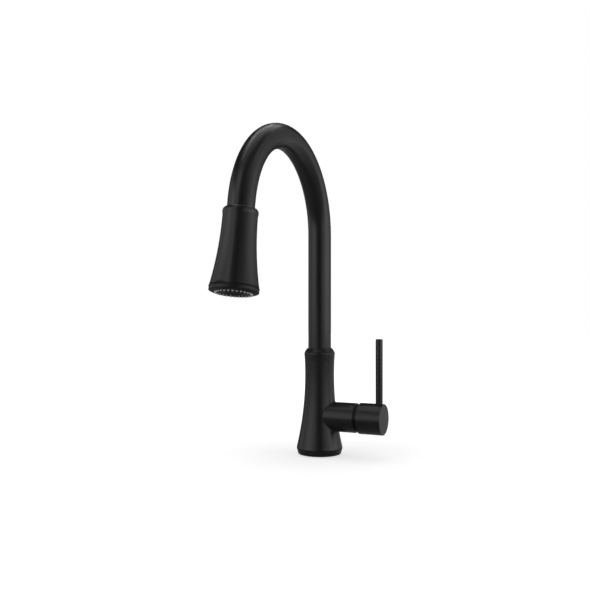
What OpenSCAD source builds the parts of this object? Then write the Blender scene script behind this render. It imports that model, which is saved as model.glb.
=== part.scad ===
// Single-handle kitchen faucet: a flared body, a high-arc neck that swivels and a pull-down spray wand.
// Millimetres. The origin is on the deck at the middle of the foot. +Z is up, the wand hangs
// towards -Y and the handle points along +X.

/* [Foot and deck] */
// Diameter of the foot ring where it stands on the deck
foot_d = 52.8; // [50:0.1:55]
// Height of the foot ring, up to the body's lower edge
foot_h = 7.6; // [6.5:0.1:10]
// Outer diameter of the threaded shank
shank_d = 33.2; // [32.8:0.1:33.4]
// Wall of the shank
shank_wall = 2.3; // [1.8:0.1:2.6]
// Diameter of the pilot collar that centres the shank in the deck's hole
pilot_d = 33.8; // [33.6:0.1:34.4]
// Length of the pilot collar
pilot_len = 10; // [6:0.5:20]
// Length of the shank below the deck
shank_len = 72; // [66:1:100]
// Thickness of the deck that the clamp is set for
deck_t = 36; // [10:1:38]
// Diameter of the mounting nut
nut_d = 54; // [50:1:64]
// Thickness of the mounting nut's flange
nut_t = 7; // [5:0.5:10]
// Thickness of the rubber clamp washer
rubber_t = 2.5; // [2:0.1:4]
// Thickness of the steel clamp washer
steel_t = 1.5; // [1:0.1:3]

/* [Body] */
// Diameter of the body at its lower edge
flare_d = 56.4; // [56:0.1:60]
// Diameter of the body at its waist
waist_d = 35.6; // [35.4:0.1:36.4]
// Height of the waist above the deck
waist_h = 97; // [92:1:104]
// Diameter of the rim at the top of the body
rim_d = 37.6; // [37:0.1:40]
// Height of the body's top face above the deck
body_h = 124.2; // [120:0.1:132]
// Wall of the body, square to its surface
body_wall = 2.6; // [2.2:0.1:2.8]

/* [Hub and handle] */
// Height of the hub's axis above the deck
hub_h = 46; // [44:0.5:50]
// Diameter of the fixed hub
hub_d = 35.8; // [35.4:0.1:37]
// Distance from the body's axis to the hub's end face
hub_reach = 49.3; // [49:0.1:56]
// Gap between the hub and the handle's cap
cap_gap = 2.7; // [2.5:0.1:4]
// Diameter of the handle's cap
cap_d = 37.2; // [36.8:0.1:40]
// Length of the handle's cap
cap_len = 30.8; // [28:0.1:36]
// Wall of the cap round its cavity
cap_wall = 2.1; // [1.5:0.1:2.2]
// Diameter of the lever rod
lever_d = 8.5; // [7:0.1:9.5]
// Distance from the cap's end face to the lever's axis
lever_inset = 6; // [5.2:0.1:8]
// Height of the lever's tip above the hub's axis
lever_h = 95.5; // [70:0.5:120]

/* [Cartridge] */
// Diameter of the cartridge
cartridge_d = 25; // [24.6:0.1:25.2]
// Distance from the body's axis to the cartridge's base
cartridge_x = 13.3; // [13.3:0.1:13.6]
// Distance from the cartridge's base to its tilting pin
pivot_x = 16.7; // [16.5:0.1:17]
// Diameter of the stem that the handle sits on
stem_d = 6.8; // [6.2:0.1:7]
// Distance from the tilting pin to the ball that moves the disc
stem_arm = 6; // [5.8:0.1:6.2]

/* [Spout] */
// Outer diameter of the spout tube
tube_d = 28; // [27:0.1:28.2]
// Wall of the spout tube
tube_wall = 1.2; // [1:0.1:1.4]
// Radius of the arch along the tube's centre line
arc_r = 100; // [80:1:120]
// Height of the arch's centre above the deck
arc_h = 267.5; // [220:0.5:320]
// Angle through which the arch bends
arc_sweep = 170.2; // [160:0.1:178]
// Straight tube past the arch, hidden in the wand
tube_tail = 16; // [14:0.5:20]
// Depth of the tube inside the body
seat_depth = 44.2; // [40:0.1:48]
// Height of the collar at the foot of the tube
collar_h = 4.4; // [3:0.1:6]

/* [Wand] */
// Distance from the end of the arch to the wand's top
wand_s = 8.4; // [8:0.1:9.4]
// Length of the wand from its top to its face
wand_len = 84.6; // [82:0.1:98]
// Diameter of the bead round the wand's top
bead_d = 36.2; // [36:0.1:38]
// Diameter of the wand's neck, below the bead
wand_neck_d = 35.2; // [35:0.1:36]
// Diameter of the wand where its curve runs out into a straight skirt
wand_flare_d = 48.2; // [47.4:0.1:49]
// Length of the straight skirt, down to the turning ring
skirt_len = 1.9; // [1:0.1:2.4]
// Diameter of the turning ring at its widest
ring_d = 50.2; // [49:0.1:54]
// Diameter of the spray face
face_d = 42; // [41.5:0.1:43.4]
// Length of the turning ring
ring_len = 6.8; // [6.4:0.1:7.4]
// Wall of the wand's casing
wand_wall = 2; // [1.6:0.1:2.1]
// Diameter of the circle of spray nozzles
nozzle_pcd = 36.6; // [35.6:0.1:37]
// Number of spray nozzles
nozzle_n = 28; // [12:1:30]
// Diameter of the aerator's housing
aerator_d = 19; // [16:0.1:20]

/* [Hose and pipe] */
// Diameter of the spray hose
hose_d = 11; // [10:0.1:11.4]
// Bore of the spray hose
hose_bore = 6.4; // [5.6:0.1:7]
// Diameter of the mixed-water outlet pipe
pipe_d = 7; // [6:0.1:7.2]
// Diameter of the tapped supply ports
port_d = 7; // [6:0.1:7.2]
// Depth of the tapped supply ports
port_depth = 14; // [10:0.5:18]

/* [Fits] */
// Radial clearance of a shaft that turns or slides in its hole
run_gap = 0.05; // [0.02:0.01:0.1]
// Gap between pieces that are fixed together
seat_gap = 0.1; // [0.05:0.01:0.15]
// Gap between bodies that move past each other
move_gap = 0.35; // [0.3:0.05:0.4]

/* [Hidden] */
$fn = 96;
fine_fn = 720;      // facets of the very large circles that shape the flared outlines
small_fn = 48;      // facets of screws, nozzles and pins
eps = 0.05;         // overshoot of a cutting tool past the face that it opens

black = [0.11, 0.11, 0.115];
soft_black = [0.16, 0.16, 0.165];
brass = [0.78, 0.62, 0.32];
steel = [0.7, 0.71, 0.73];
grey = [0.62, 0.63, 0.64];
white = [0.9, 0.9, 0.88];

// Foot
foot_r = foot_d / 2;
flare_r = flare_d / 2;
foot_chamfer = 0.5;
foot_groove_h = 0.7;                               // shadow line between foot ring and body
foot_groove_r = flare_r - 1.2;
foot_ring_r = flare_r - 0.2;
gasket_t = 1.5;
gasket_in = 19.9;
gasket_out = foot_r - 2.1;
shank_r = shank_d / 2;
shank_bore_r = shank_r - shank_wall;
pilot_r = pilot_d / 2;
ring_bore_r = pilot_r + 0.3;
spigot_r = flare_r - body_wall - 0.2;              // upstand of the foot ring inside the body
spigot_h = 3.6;
spigot_wall = 2.6;
shank_flange_r = spigot_r - spigot_wall - 0.3;
shank_flange_t = 4;
shank_top = foot_h + shank_flange_t;

// Body outline: one circular arc from the lower edge past the waist to the rim
waist_r = waist_d / 2;
rim_r = rim_d / 2;
rim_low = body_h - 10.2;                           // where the arc hands over to the rim
rim_wide = body_h - 1.7;                           // height of the rim's widest circle
bow_dz = waist_h - foot_h;
bow_dr = flare_r - waist_r;
bow_r = (bow_dz * bow_dz + bow_dr * bow_dr) / (2 * bow_dr);
function body_r(z) = waist_r + bow_r - sqrt(bow_r * bow_r - (z - waist_h) * (z - waist_h));

// Neck bearing
tube_r = tube_d / 2;
tube_in = tube_r - tube_wall;
bush_wall = 1.2;
bush_in = tube_r + run_gap;
bush_out = bush_in + bush_wall;
neck_bore_r = bush_out + 0.05;
neck_bore_z = waist_h - 25;
bush_flange_r = rim_r - 1.7;
bush_flange_t = 2;
bush_flange_top = body_h + 0.1;
tube_low = body_h - seat_depth;
clip_z = tube_low + 2.4;
clip_t = 1.2;
clip_depth = 0.5;
tail_skim = 0.05;                                  // turned off the tube's end, inside and out
upper_bush_len = 14;
lower_bush_len = 12;
lower_bush_z = clip_z + clip_t + move_gap;
collar_z = bush_flange_top + move_gap;
collar_low_r = rim_r - 0.6;
collar_top_r = tube_r + 1.4;

// Hub, along X
hub_r = hub_d / 2;
hub_chamfer = 1.4;
chamber_r = 15;                                    // valve block inside the hub
hub_bore_r = chamber_r + 0.3;
lip_t = 1.5;                                       // lip of the hub, clamped by the cartridge nut
lip_x = 40.1;
lip_bore_r = 13.6;
nut_seat_r = 15.6;
nut_flange_r = 15.3;
nut_flange_x = lip_x + lip_t + seat_gap;
nut_cone_x = nut_flange_x + 3.5;                   // the bore opens from here, for the tilting stem
nut_thread_r = 13.35;
notch_r = 2;                                       // spanner notches in the nut's rim
notch_drop = 1.1;

// Cartridge, along X
cart_r = cartridge_d / 2;
cart_bore_r = cart_r + seat_gap;
cart_floor_x = cartridge_x - 0.3;
cart_shoulder_x = cartridge_x + 17.7;
cart_neck_r = 9.8;
cart_neck_x = cartridge_x + 23.7;
cart_wall = 1.9;
cart_room_r = cart_r - cart_wall;
pivot_at = cartridge_x + pivot_x;
cart_base_t = 2.2;
fixed_x = cartridge_x + cart_base_t + 0.05;
fixed_t = 3;
fixed_r = cart_room_r - 0.1;
moving_x = fixed_x + fixed_t + 0.02;
moving_t = 2.6;
moving_r = 7.4;
carrier_x = moving_x + moving_t + 0.02;
carrier_t = pivot_at - stem_arm + 1.6 - carrier_x;
carrier_r = 7.6;
rotor_x = carrier_x + carrier_t + move_gap;
rotor_r = cart_room_r - run_gap;
rotor_room_x = cart_shoulder_x - 1.8;              // the housing's front wall starts here
rotor_neck_r = 8.4;
rotor_neck_bore = rotor_neck_r + run_gap;
rotor_end_x = cart_neck_x + 0.6;
stem_r = stem_d / 2;
slot_half = stem_r + move_gap;
ball_r = 2.2;
pin_r = 1.5;
pin_half = rotor_neck_r - 0.5;
cart_port_r = 2.6;
cart_port_at = 5.4;
seal_r = 1.1;
nut_bore_r = cart_neck_r + 0.3;

// Valve block and its ports
hose_r = hose_d / 2;
hose_way_r = hose_r + 0.4;
port_r = port_d / 2;
pipe_r = pipe_d / 2;
port_at = shank_bore_r - max(port_r, pipe_r) - 0.25;   // radius at which ports and pipe stand
port_turn = 60;
block_foot_t = 3.5;
block_foot_r = shank_flange_r - 0.3;
block_x = 0.5;
block_half = 14;
block_reach = 17.4;
block_back_x = hose_way_r + 1.2;
chamber_end_x = lip_x - 0.1;
screw_r = 1.95;
block_screw_at = shank_bore_r + screw_r + 1.3;
block_screw_turns = [120, 180, 240];
screw_head_r = 3.4;
screw_head_t = 3.2;
hot_cold_top = hub_h - 1;
mixed_top = hub_h - 6;
cross_r = 2.4;
cross_drop = cross_r + 0.7;                        // from the end of an upright way down to its cross hole
pipe_low = -shank_len - 8;
pipe_wall = 0.8;
hose_low = -shank_len - 12;
tail_len = 18;
tail_r = hose_r + 1.2;
tail_flat_len = 8;                                 // spanner flats at the coupling's lower end
tail_flat_depth = 0.9;

// Deck clamp
clamp_bore_r = pilot_r + 0.15;
nut_r = nut_d / 2;
clamp_z = -deck_t;
steel_z = clamp_z - rubber_t - seat_gap;
nut_z = steel_z - steel_t - 2.5;
nut_collar_r = shank_r + 5;                        // to the corners of its six flats
nut_collar_t = 5.5;
nut_screw_r = 2;
nut_head_r = 1.6 * nut_screw_r;
nut_head_t = 2.4;
nut_screw_at = nut_collar_r * cos(30) + nut_head_r + 0.4;
nut_screw_len = 17;
driver_w = 0.8;                                    // width of the screws' slots
nut_screw_turns = [0, 120, 240];

// End of the arch, where the wand's own axis begins. Its local +Z points out of the outlet.
neck_end = [0, -arc_r + arc_r * cos(arc_sweep), arc_h + arc_r * sin(arc_sweep)];

// Wand, along its axis, measured from the end of the arch
collar_len = 6.6;
collar_edge = 0.9;                                 // chamfer of the wand's top edge
collar_low_s = wand_s + collar_len;
face_s = wand_s + wand_len;
skirt_s = face_s - ring_len;                       // where the casing ends and the turning ring begins
flare_s = skirt_s - skirt_len;
ring_wide_s = face_s - 5.3;
wand_bore_r = tube_r + 0.4;
bead_r = bead_d / 2;
bead_s = collar_low_s - 3.4;
neck_r = wand_neck_d / 2;
wand_flare_r = wand_flare_d / 2;
ring_r = ring_d / 2;
face_r = face_d / 2;
swell_s = collar_low_s + 1.4;                      // where the casing starts to swell
swell_ds = flare_s - swell_s;
swell_dr = wand_flare_r - neck_r;
swell_r = (swell_ds * swell_ds + swell_dr * swell_dr) / (2 * swell_dr);
function wand_r(s) = neck_r + swell_r - sqrt(swell_r * swell_r - (s - swell_s) * (s - swell_s));
skirt_low_r = wand_flare_r + skirt_len * (ring_d / 2 - wand_flare_r) / (ring_wide_s - flare_s);

dock_bore_r = 9.6;
dock_flange_t = 1.5;
dock_back = 2;
core_top = tube_tail + dock_flange_t + move_gap;
core_nose_r = dock_bore_r - 0.4;
core_nose_s = wand_s + 2;
core_head_r = neck_r - wand_wall - 0.15;
core_head_t = 5;
core_r = 11;
core_foot_t = 3.4;
spigot_core_r = 12;
plate_t = 2;
plate_s = face_s - 0.6 - plate_t;
pad_t = 1.4;
pad_s = plate_s - pad_t - 0.05;
selector_t = 1.6;
selector_s = pad_s - selector_t - seat_gap;
core_end_s = selector_s - move_gap;
clip_core_s = core_end_s - 2;
web_t = 3.3;                                       // of the turning ring, between the core's foot and the clip
web_s = clip_core_s - web_t - 0.6;
core_foot_s = web_s - core_foot_t - 0.6;
core_foot_r = wand_r(core_foot_s) - wand_wall - 0.25;
core_bore_r = 4;
core_way_r = 2;                                    // three ways to the outer ring of nozzles
core_way_at = 8;
valve_r = 6;
valve_s = core_top + 8;
valve_len = 12;
strainer_t = 1;
hose_nut_r = 8.8;
hose_nut_len = 13.6;
hose_end_s = core_nose_s - hose_nut_len - 2 * seat_gap - 0.2;

// Turning spray face
web_bore_r = spigot_core_r + run_gap;
ring_spigot_r = wand_r(web_s) - wand_wall - move_gap - 0.05;   // the ring's upper end, inside the casing
ring_top_s = skirt_s + move_gap;
grip_depth = 0.45;                                 // of the band between the ring's two ridges
grip_low_s = ring_wide_s + 2.5;
pocket_r = face_r - 1.9;                           // room behind the spray face
plate_r = face_r - 1.3;
plate_lip_r = plate_r + seat_gap;
nozzle_r = 0.85;
nozzle_hole_r = nozzle_r + 0.1;
nozzle_out = 1.5;
aerator_r = aerator_d / 2;
aerator_s = selector_s + selector_t + 0.1;
aerator_wall = 1.4;
mesh_t = 0.6;
mesh_s = face_s - 1.4;
mesh_pitch = 1.7;
mesh_hole_r = 0.55;

// Handle
cap_r = cap_d / 2;
cap_x = hub_reach + cap_gap;
cap_end_x = cap_x + cap_len;
cap_chamfer = 1.4;
cap_edge = 0.5;
cap_room_r = cap_r - cap_wall;
cap_room_len = 14;
boss_r = 8;
boss_x = cap_x + 6;
boss_bore_r = stem_r + seat_gap;
stem_end_x = cap_x + 18;
lever_x = cap_end_x - lever_inset;
lever_r = lever_d / 2;
lever_seat = 2.4;                                  // depth of the lever's counterbore
lever_seat_z = hub_h + cap_r - lever_seat;
lever_pin_r = 2.8;
lever_pin_len = 9;
nut_rim_x = cap_x + 0.3;                           // the nut's rim bridges the gap between hub and cap
nut_rim_edge = 1;
stem_tilt = 20;
nut_rim_bore = (nut_rim_x - pivot_at) * tan(stem_tilt) + stem_r / cos(stem_tilt) + 0.6;
set_x = cap_x + 10;
set_r = 2.5;
set_socket_r = 1.5;
plug_t = 1.6;

module lathe(points) rotate_extrude() polygon(points);

module ring(outer, inner, low, high)
    rotate_extrude() translate([inner, low]) square([outer - inner, high - low]);

// Stands its children along the hub's axis: local +Z becomes +X.
module at_hub() translate([0, 0, hub_h]) rotate([0, 90, 0]) children();

// Stands its children on the wand's axis: local +Z points out of the outlet.
module at_wand() translate(neck_end) rotate([arc_sweep, 0, 0]) children();

// A length of round rod or tube that follows the arch's centre line.
module along_arch(outer, inner)
    translate([0, -arc_r, arc_h]) rotate([90, 0, 90]) rotate_extrude(angle = arc_sweep)
        translate([arc_r, 0]) difference() {
            circle(outer);
            circle(inner);
        }

// Region between the axis and a hollow-sided curve that a large circle cuts out of a rectangle.
module bowed(low, high, reach, centre_r, centre_z, radius)
    difference() {
        translate([0, low]) square([reach, high - low]);
        translate([centre_r, centre_z]) circle(radius, $fn = fine_fn);
    }

// ---------------------------------------------------------------- foot and deck

module base_ring() color(black)
    lathe([
        [ring_bore_r, 0.4], [gasket_in - 0.1, 0.4], [gasket_in - 0.1, gasket_t + 0.1],
        [gasket_out + 0.1, gasket_t + 0.1], [gasket_out + 0.1, 0], [foot_r - foot_chamfer, 0],
        [foot_r, foot_chamfer], [foot_ring_r, foot_h - foot_groove_h - foot_chamfer],
        [foot_ring_r - foot_chamfer, foot_h - foot_groove_h],
        [foot_groove_r, foot_h - foot_groove_h], [foot_groove_r, foot_h], [spigot_r, foot_h],
        [spigot_r, foot_h + spigot_h], [spigot_r - spigot_wall, foot_h + spigot_h],
        [spigot_r - spigot_wall, foot_h], [ring_bore_r, foot_h]
    ]);

module base_gasket() color(soft_black) ring(gasket_out, gasket_in, 0, gasket_t);

module shank() color(brass) difference() {
    union() {
        ring(shank_r, shank_bore_r, -shank_len, foot_h + shank_flange_t);
        ring(shank_flange_r, shank_bore_r, foot_h + 0.05, shank_top);
        ring(pilot_r, shank_bore_r, -pilot_len, 0);
    }
    for (turn = block_screw_turns)
        rotate(turn) translate([block_screw_at, 0, foot_h])
            cylinder(h = shank_flange_t + 1, r = screw_r + run_gap, $fn = small_fn);
}

module rubber_washer() color(soft_black) ring(nut_r - 1, clamp_bore_r, clamp_z - rubber_t, clamp_z);

module steel_washer() color(steel) ring(nut_r - 0.5, clamp_bore_r, steel_z - steel_t, steel_z);

module mounting_nut() color(brass) difference() {
    union() {
        translate([0, 0, nut_z - nut_t]) cylinder(h = nut_t, r = nut_r);
        rotate(30) translate([0, 0, nut_z - nut_t - nut_collar_t])
            cylinder(h = nut_collar_t + eps, r = nut_collar_r, $fn = 6);
    }
    translate([0, 0, nut_z - nut_t - nut_collar_t - eps])
        cylinder(h = nut_t + nut_collar_t + 2 * eps, r = shank_r + run_gap);
    for (turn = nut_screw_turns)
        rotate(turn) translate([nut_screw_at, 0, nut_z - nut_t - eps])
            cylinder(h = nut_t + 2 * eps, r = nut_screw_r + run_gap, $fn = small_fn);
}

// Screws through the nut that press the washers up against the deck.
module nut_screws() color(steel) for (turn = nut_screw_turns)
    rotate(turn) translate([nut_screw_at, 0, steel_z - steel_t - seat_gap - nut_screw_len]) {
        cylinder(h = nut_screw_len, r = nut_screw_r, $fn = small_fn);
        translate([0, 0, -nut_head_t]) difference() {
            cylinder(h = nut_head_t + eps, r = nut_head_r, $fn = small_fn);
            translate([-nut_head_r - eps, -driver_w / 2, -eps])
                cube([2 * (nut_head_r + eps), driver_w, nut_head_t / 2]);
        }
    }

// ---------------------------------------------------------------- body

module body_outline() {
    bowed(foot_h, rim_low + eps, flare_r, waist_r + bow_r, waist_h, bow_r);
    polygon([
        [0, rim_low], [body_r(rim_low), rim_low], [rim_r, rim_wide], [rim_r - 0.15, rim_wide + 1],
        [rim_r - 0.6, body_h], [0, body_h]
    ]);
}

module body_room() {
    bowed(foot_h - 1, neck_bore_z, flare_r, waist_r + bow_r, waist_h, bow_r + body_wall);
    translate([0, foot_h - 1]) square([spigot_r + seat_gap, spigot_h + 1.4]);
    translate([0, neck_bore_z - 1]) square([neck_bore_r, body_h - neck_bore_z + 2]);
    translate([0, bush_flange_top - bush_flange_t - 0.1]) square([bush_flange_r + 0.1, 4]);
}

module body_shell() color(black) difference() {
    union() {
        rotate_extrude() body_outline();
        at_hub() lathe([[0, 0], [hub_r, 0], [hub_r, hub_reach - hub_chamfer],
                        [hub_r - hub_chamfer, hub_reach], [0, hub_reach]]);
    }
    rotate_extrude() body_room();
    at_hub() {
        cylinder(h = lip_x, r = hub_bore_r);
        cylinder(h = hub_reach, r = lip_bore_r);
        translate([0, 0, lip_x + lip_t]) cylinder(h = hub_reach, r = nut_seat_r);
    }
}

module port_place(turn) rotate(turn) translate([port_at, 0, 0]) children();

module valve_block() color(brass) difference() {
    union() {
        translate([0, 0, shank_top + 0.05]) cylinder(h = block_foot_t, r = block_foot_r);
        intersection() {
            translate([block_x, -block_half, shank_top + 0.05])
                cube([block_reach, 2 * block_half, hub_h + 6 - shank_top]);
            cylinder(h = hub_h + 10, r = block_reach);
        }
        at_hub() translate([0, 0, block_back_x]) cylinder(h = chamber_end_x - block_back_x, r = chamber_r);
    }
    at_hub() {
        translate([0, 0, cart_floor_x]) cylinder(h = chamber_end_x, r = cart_bore_r);
        translate([0, 0, cart_shoulder_x + 0.2]) cylinder(h = chamber_end_x, r = nut_thread_r + 0.05);
    }
    cylinder(h = hub_h + 2 * chamber_r, r = hose_way_r);
    for (turn = [-port_turn, port_turn]) port_place(turn) {
        translate([0, 0, shank_top - 1]) cylinder(h = port_depth + 1, r = port_r, $fn = small_fn);
        cylinder(h = hot_cold_top, r = port_r - 0.8, $fn = small_fn);
    }
    port_place(0) {
        cylinder(h = shank_top + port_depth, r = pipe_r + run_gap, $fn = small_fn);
        cylinder(h = mixed_top, r = pipe_r - 0.8, $fn = small_fn);
    }
    for (side = [-1, 1])
        translate([port_at * cos(port_turn), side * port_at * sin(port_turn), hot_cold_top - cross_drop])
            rotate([0, 90, 0]) cylinder(h = cartridge_x, r = cross_r, $fn = small_fn);
    translate([port_at, 0, mixed_top - cross_drop]) rotate([0, 90, 0])
        cylinder(h = cartridge_x - port_at, r = cross_r, $fn = small_fn);
    for (turn = block_screw_turns)
        rotate(turn) translate([block_screw_at, 0, shank_top - 1])
            cylinder(h = block_foot_t + 2, r = screw_r + run_gap, $fn = small_fn);
}

// Screws that hold the valve block down on the shank's flange.
module block_screws() color(steel) for (turn = block_screw_turns)
    rotate(turn) translate([block_screw_at, 0, shank_top + 0.05 + block_foot_t + 0.05]) {
        translate([0, 0, -block_foot_t - shank_flange_t + 0.4])
            cylinder(h = block_foot_t + shank_flange_t, r = screw_r, $fn = small_fn);
        difference() {
            cylinder(h = screw_head_t, r = screw_head_r, $fn = small_fn);
            translate([0, 0, screw_head_t / 2]) cylinder(h = screw_head_t, r = 1.7, $fn = 6);
        }
    }

module outlet_pipe() color(brass) port_place(0)
    ring(pipe_r, pipe_r - pipe_wall, pipe_low, shank_top + port_depth - 0.2);

module upper_bush() color(grey) {
    ring(bush_out, bush_in, bush_flange_top - bush_flange_t - upper_bush_len, bush_flange_top);
    ring(bush_flange_r, bush_in, bush_flange_top - bush_flange_t, bush_flange_top);
}

module lower_bush() color(grey)
    ring(bush_out, bush_in, lower_bush_z, lower_bush_z + lower_bush_len);

// ---------------------------------------------------------------- cartridge

module cartridge_housing() color(soft_black) at_hub() difference() {
    union() {
        translate([0, 0, cartridge_x]) cylinder(h = cart_shoulder_x - cartridge_x, r = cart_r);
        translate([0, 0, cartridge_x]) cylinder(h = cart_neck_x - cartridge_x, r = cart_neck_r);
    }
    translate([0, 0, cartridge_x - eps]) cylinder(h = rotor_room_x - cartridge_x, r = cart_room_r);
    cylinder(h = cart_neck_x + 1, r = rotor_neck_bore);
}

module cart_ports(radius, low, length) for (turn = [60, 180, 300])
    rotate(turn) translate([-cart_port_at, 0, low]) cylinder(h = length, r = radius, $fn = small_fn);

module cartridge_base() color(white) at_hub() difference() {
    translate([0, 0, cartridge_x]) cylinder(h = cart_base_t, r = cart_room_r - 0.05);
    cart_ports(cart_port_r, cartridge_x - 1, cart_base_t + 2);
    cart_ports(cart_port_r + seal_r, cartridge_x - 1, 1 + seal_r);
}

// One rubber ring in each port of the cartridge's base.
module port_seals() color(soft_black) at_hub() difference() {
    cart_ports(cart_port_r + seal_r - 0.05, cartridge_x - 0.2, seal_r + 0.15);
    cart_ports(cart_port_r - 0.3, cartridge_x - 1, 4);
}

module fixed_disc() color(white) at_hub() difference() {
    translate([0, 0, fixed_x]) cylinder(h = fixed_t, r = fixed_r);
    cart_ports(cart_port_r - 0.4, fixed_x - 1, fixed_t + 2);
}

module cartridge_nut() color(brass) at_hub() difference() {
    union() {
        translate([0, 0, cart_shoulder_x + 0.3])
            cylinder(h = lip_x + lip_t + seat_gap - cart_shoulder_x, r = nut_thread_r);
        lathe([[0, nut_flange_x], [nut_flange_r, nut_flange_x], [nut_flange_r, nut_rim_x - nut_rim_edge],
               [nut_flange_r - nut_rim_edge, nut_rim_x], [0, nut_rim_x]]);
    }
    cylinder(h = 2 * hub_reach, r = nut_bore_r);
    lathe([[0, nut_cone_x], [nut_bore_r, nut_cone_x], [nut_rim_bore, nut_rim_x], [nut_rim_bore, cap_end_x],
           [0, cap_end_x]]);
    for (turn = [0:60:300])
        rotate(turn) translate([nut_flange_r, 0, nut_rim_x - notch_drop])
            cylinder(h = cap_len, r = notch_r, $fn = small_fn);
}

module cartridge_rotor() color(grey) difference() {
    at_hub() union() {
        translate([0, 0, rotor_x]) cylinder(h = rotor_room_x - rotor_x - 2 * run_gap, r = rotor_r);
        translate([0, 0, rotor_x]) cylinder(h = rotor_end_x - rotor_x, r = rotor_neck_r);
    }
    translate([rotor_x - 1, -slot_half, hub_h - slot_half - 3])
        cube([rotor_end_x - rotor_x + 2, 2 * slot_half, 2 * slot_half + 5.6]);
    translate([pivot_at, 0, hub_h]) rotate([90, 0, 0])
        cylinder(h = 2 * pin_half + 1, r = pin_r + 0.02, center = true, $fn = small_fn);
}

module tilt_pin() color(steel) translate([pivot_at, 0, hub_h]) rotate([90, 0, 0])
    cylinder(h = 2 * pin_half, r = pin_r, center = true, $fn = small_fn);

module disc_carrier() color(grey) difference() {
    at_hub() translate([0, 0, carrier_x]) cylinder(h = carrier_t, r = carrier_r);
    translate([pivot_at - stem_arm - ball_r - move_gap, -ball_r - move_gap, hub_h - ball_r - move_gap])
        cube([carrier_t + ball_r + stem_arm, 2 * (ball_r + move_gap), 2 * (ball_r + move_gap)]);
}

module moving_disc() color(white) at_hub() difference() {
    translate([0, 0, moving_x]) cylinder(h = moving_t, r = moving_r);
    translate([0, 0, moving_x - eps]) cylinder(h = moving_t / 2, r = moving_r - 2.6, $fn = small_fn);
}

// ---------------------------------------------------------------- handle

module cartridge_stem() color(steel) difference() {
    at_hub() {
        translate([0, 0, pivot_at - stem_arm]) sphere(r = ball_r, $fn = small_fn);
        translate([0, 0, pivot_at - stem_arm]) cylinder(h = stem_arm, r = ball_r * 0.7, $fn = small_fn);
        translate([0, 0, pivot_at - stem_arm / 2]) cylinder(h = stem_end_x - pivot_at + stem_arm / 2, r = stem_r);
    }
    translate([pivot_at, 0, hub_h]) rotate([90, 0, 0])
        cylinder(h = 2 * stem_r + 1, r = pin_r + run_gap, center = true, $fn = small_fn);
}

module handle_cap() color(black) difference() {
    at_hub() lathe([
        [0, cap_x], [cap_r - cap_chamfer, cap_x], [cap_r, cap_x + cap_chamfer],
        [cap_r, cap_end_x - cap_edge], [cap_r - cap_edge, cap_end_x], [0, cap_end_x]
    ]);
    at_hub() difference() {
        translate([0, 0, cap_x - 1]) cylinder(h = cap_room_len + 1, r = cap_room_r);
        translate([0, 0, boss_x]) cylinder(h = cap_room_len, r = boss_r);
    }
    at_hub() translate([0, 0, cap_x]) cylinder(h = stem_end_x + seat_gap - cap_x, r = boss_bore_r);
    translate([lever_x, 0, lever_seat_z]) cylinder(h = lever_seat + 1, r = lever_r + seat_gap);
    translate([lever_x, 0, lever_seat_z - lever_pin_len - 0.3])
        cylinder(h = lever_pin_len + 1, r = lever_pin_r + run_gap, $fn = small_fn);
    translate([set_x, 0, hub_h]) rotate([-90, 0, 0]) cylinder(h = cap_r + 1, r = set_r + run_gap, $fn = small_fn);
}

module lever_rod() color(black) translate([lever_x, 0, 0]) union() {
    lathe([[0, lever_seat_z + 0.1], [lever_r, lever_seat_z + 0.1], [lever_r, hub_h + lever_h - 0.4],
           [lever_r - 0.4, hub_h + lever_h], [0, hub_h + lever_h]]);
    translate([0, 0, lever_seat_z - lever_pin_len])
        cylinder(h = lever_pin_len + 1, r = lever_pin_r, $fn = small_fn);
}

module set_screw() color(steel) translate([set_x, stem_r + 0.1, hub_h]) rotate([-90, 0, 0]) difference() {
    cylinder(h = boss_r - stem_r, r = set_r, $fn = small_fn);
    translate([0, 0, 2]) cylinder(h = boss_r, r = set_socket_r, $fn = 6);
}

module screw_plug() color(black) translate([set_x, cap_r - plug_t - 0.35, hub_h]) rotate([-90, 0, 0])
    cylinder(h = plug_t, r = set_r, $fn = small_fn);

// ---------------------------------------------------------------- spout

module spout_tube() color(black) {
    difference() {
        ring(tube_r, tube_in, tube_low, arc_h);
        ring(tube_r + 1, tube_r - clip_depth, clip_z - 0.05, clip_z + clip_t + 0.05);
    }
    along_arch(tube_r, tube_in);
    at_wand() ring(tube_r - tail_skim, tube_in + tail_skim, -tail_skim * 10, tube_tail);
}

module spout_collar() color(black) lathe([
    [tube_r + 0.02, collar_z], [collar_low_r - 0.3, collar_z], [collar_low_r, collar_z + 0.3],
    [collar_top_r, collar_z + collar_h - 0.2], [collar_top_r - 0.3, collar_z + collar_h],
    [tube_r + 0.02, collar_z + collar_h]
]);

// Open spring clip in the tube's groove, under the lower bush.
module retaining_ring() color(steel) difference() {
    ring(tube_r + 0.95, tube_r - clip_depth + 0.05, clip_z, clip_z + clip_t);
    translate([tube_r - 3, -3, clip_z - 1]) cube([6, 6, clip_t + 2]);
}

// Plastic guide in the mouth of the tube, where the wand docks.
module dock_bush() color(grey) at_wand() lathe([
    [dock_bore_r, -dock_back], [tube_in - 0.1, -dock_back], [tube_in - 0.1, tube_tail + 0.05],
    [tube_r - 0.1, tube_tail + 0.05], [tube_r - 0.1, tube_tail + dock_flange_t],
    [dock_bore_r + 0.8, tube_tail + dock_flange_t], [dock_bore_r, tube_tail + dock_flange_t - 0.8]
]);

// Only the stretch that the shank, the body and the tube hold.
module spray_hose() color(grey) {
    ring(hose_r, hose_bore / 2, hose_low, arc_h);
    difference() {
        along_arch(hose_r, hose_bore / 2);
        at_wand() translate([0, 0, hose_end_s]) cylinder(h = 3 * hose_nut_len, r = 2 * hose_r);
    }
}

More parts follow.
